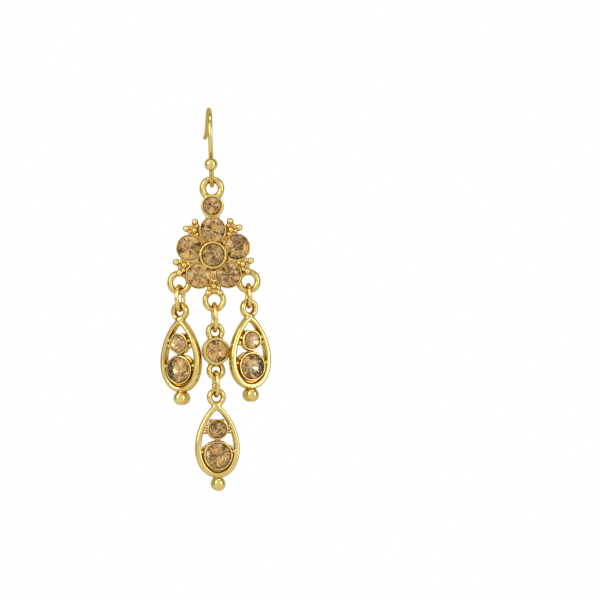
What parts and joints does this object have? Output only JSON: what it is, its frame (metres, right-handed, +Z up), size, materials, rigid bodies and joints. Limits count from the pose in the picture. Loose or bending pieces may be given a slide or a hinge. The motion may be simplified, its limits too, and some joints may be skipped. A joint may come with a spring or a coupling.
{
  "type": "chandelier earring",
  "caption": "Chandelier drop earring on a bent ear wire: a cast flower cluster of round stones carries a connector and teardrop drops on jump rings.",
  "frame": {"origin": "underside of the ear wire's arch at its crest, where the ear carries the earring", "axes": "+Z up along the hanging earring, -Y out of its face, +X to the viewer's right"},
  "size_m": [0.0192, 0.0245, 0.066],
  "materials": {
    "ear_wire": "polished gold-coloured plating on drawn wire",
    "cast_gold_plate": "polished gold-coloured plating over a slightly uneven casting, darker in the recesses",
    "jump_ring_wire": "polished gold-coloured plating on drawn wire",
    "champagne_glass": "clear champagne-brown cut glass, foiled behind"
  },
  "bodies": {
    "hook": {"ear_hook": "ear_wire"},
    "pendant": {"cluster_casting": "cast_gold_plate", "connector_casting": "cast_gold_plate", "drop_casting_left": "cast_gold_plate", "drop_casting_right": "cast_gold_plate", "drop_casting_bottom": "cast_gold_plate", "jump_ring_left": "jump_ring_wire", "jump_ring_right": "jump_ring_wire", "jump_ring_upper": "jump_ring_wire", "jump_ring_lower": "jump_ring_wire", "stone_top": "champagne_glass", "stone_petal_1": "champagne_glass", "stone_petal_2": "champagne_glass", "stone_petal_3": "champagne_glass", "stone_petal_4": "champagne_glass", "stone_petal_5": "champagne_glass", "stone_centre": "champagne_glass", "stone_connector": "champagne_glass", "stone_left_small": "champagne_glass", "stone_left_large": "champagne_glass", "stone_right_small": "champagne_glass", "stone_right_large": "champagne_glass", "stone_bottom_small": "champagne_glass", "stone_bottom_large": "champagne_glass"}
  },
  "joints": [
    {"name": "pendant_swing", "type": "hinge", "parent": "hook", "child": "pendant", "pos_m": [0, 0.00066, -0.01267], "axis": [0, 1, 0], "range_deg": [-60, 60]}
  ]
}
